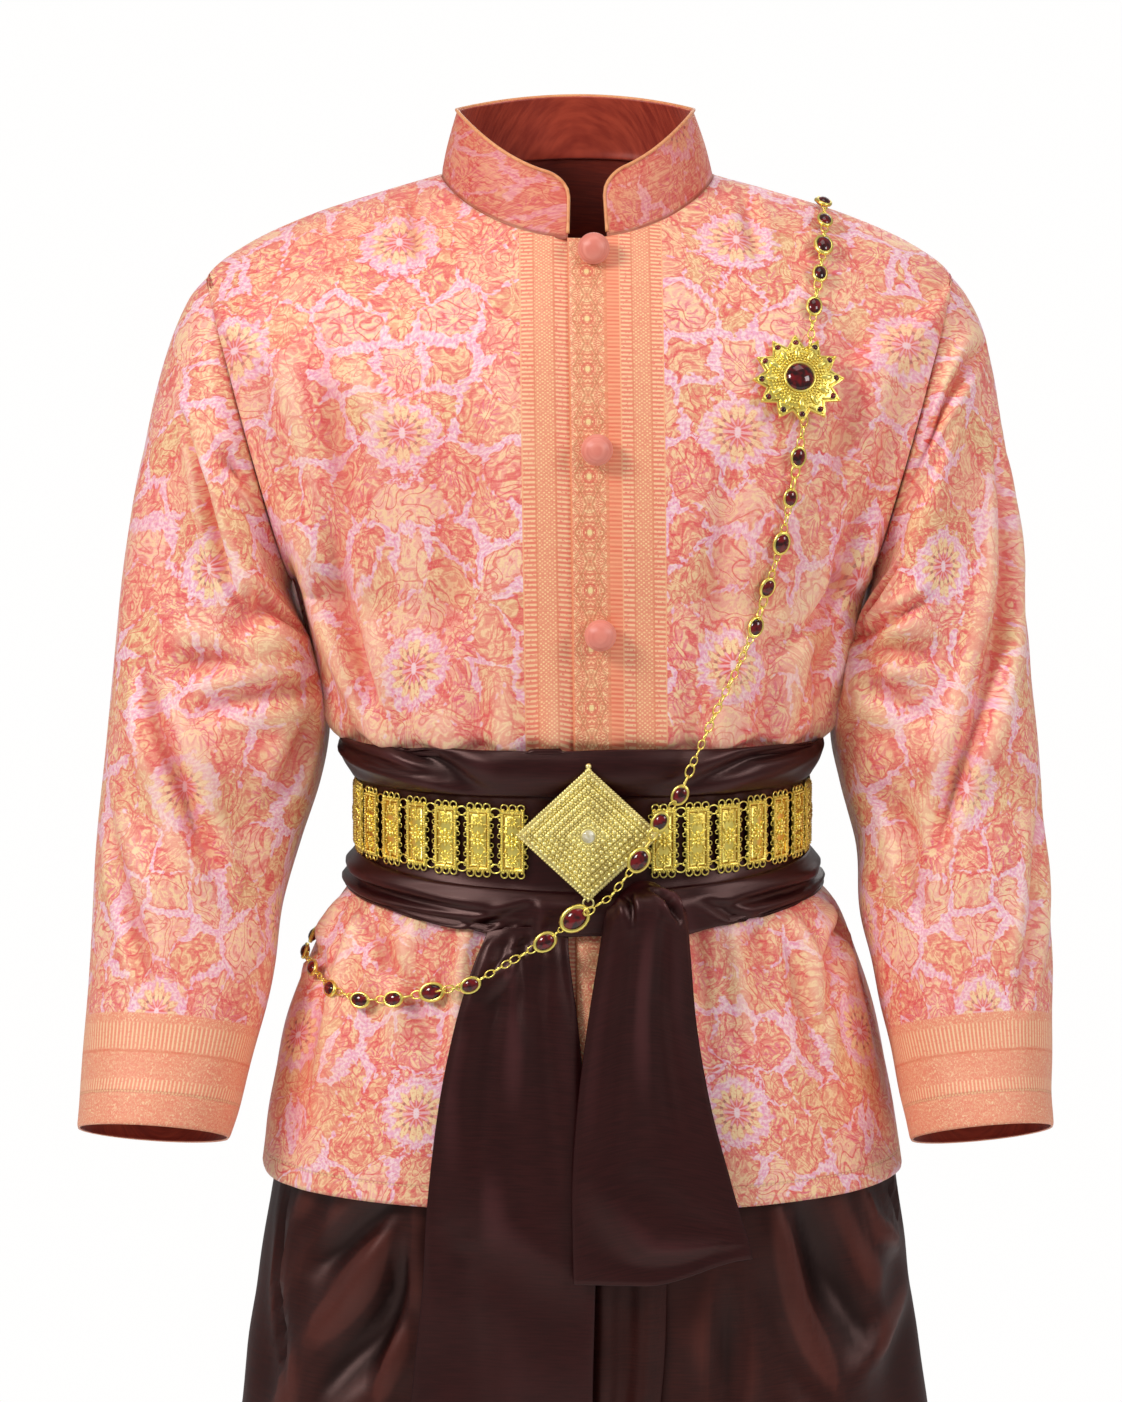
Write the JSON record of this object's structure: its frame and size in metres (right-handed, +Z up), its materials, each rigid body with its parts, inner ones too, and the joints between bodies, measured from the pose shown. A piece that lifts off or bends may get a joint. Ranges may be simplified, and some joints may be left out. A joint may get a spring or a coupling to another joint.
{
  "type": "chut thai dress: men's raj pattern jacket, satin sash, gilt belt, body chain and chong kraben",
  "caption": "Long-sleeved stand-collar brocade jacket worn over a draped chong kraben, with a wide sash, a panelled gilt belt, a rhombic buckle and a jewelled chain from shoulder to hip.",
  "frame": {"origin": "the pit of the neck on the wearer's middle line, level with the foot of the collar", "axes": "+Z up the standing wearer, -Y out of the front, +X towards the wearer's left"},
  "size_m": [0.6044, 0.275, 1.146],
  "materials": {
    "brocade": "satin",
    "button_cloth": "satin",
    "satin": "satin",
    "kraben_cloth": "satin",
    "gold": "polished",
    "pale_gold": "satin"
  },
  "bodies": {
    "root": {"belt_buckle": "pale_gold", "belt_panel_01": "gold", "belt_panel_02": "gold", "belt_panel_03": "gold", "belt_panel_04": "gold", "belt_panel_05": "gold", "belt_panel_06": "gold", "belt_panel_07": "gold", "belt_panel_08": "gold", "belt_panel_09": "gold", "belt_panel_10": "gold", "belt_panel_11": "gold", "belt_panel_12": "gold", "belt_panel_13": "gold", "belt_panel_14": "gold", "belt_panel_15": "gold", "belt_panel_16": "gold", "belt_panel_17": "gold", "belt_panel_18": "gold", "belt_panel_19": "gold", "belt_panel_20": "gold", "belt_panel_21": "gold", "belt_panel_22": "gold", "belt_panel_23": "gold", "belt_panel_24": "gold", "belt_panel_25": "gold", "belt_panel_26": "gold", "belt_panel_27": "gold", "belt_panel_28": "gold", "belt_panel_29": "gold", "belt_panel_30": "gold", "belt_panel_31": "gold", "belt_panel_32": "gold", "belt_panel_33": "gold", "belt_panel_34": "gold", "brooch": "gold", "button_1": "button_cloth", "button_2": "button_cloth", "button_3": "button_cloth", "chain_back": "gold", "chain_front": "gold", "chain_shoulder": "gold", "chain_waist": "gold", "collar": "brocade", "jacket_back": "brocade", "jacket_front_left": "brocade", "jacket_front_right": "brocade", "kraben_leg_left": "kraben_cloth", "kraben_leg_right": "kraben_cloth", "kraben_pleats": "kraben_cloth", "kraben_tail": "kraben_cloth", "kraben_waistband": "kraben_cloth", "sash_tail_over": "satin", "sash_tail_under": "satin", "sash_wrap": "satin", "sleeve_left": "brocade", "sleeve_right": "brocade"}
  },
  "joints": []
}
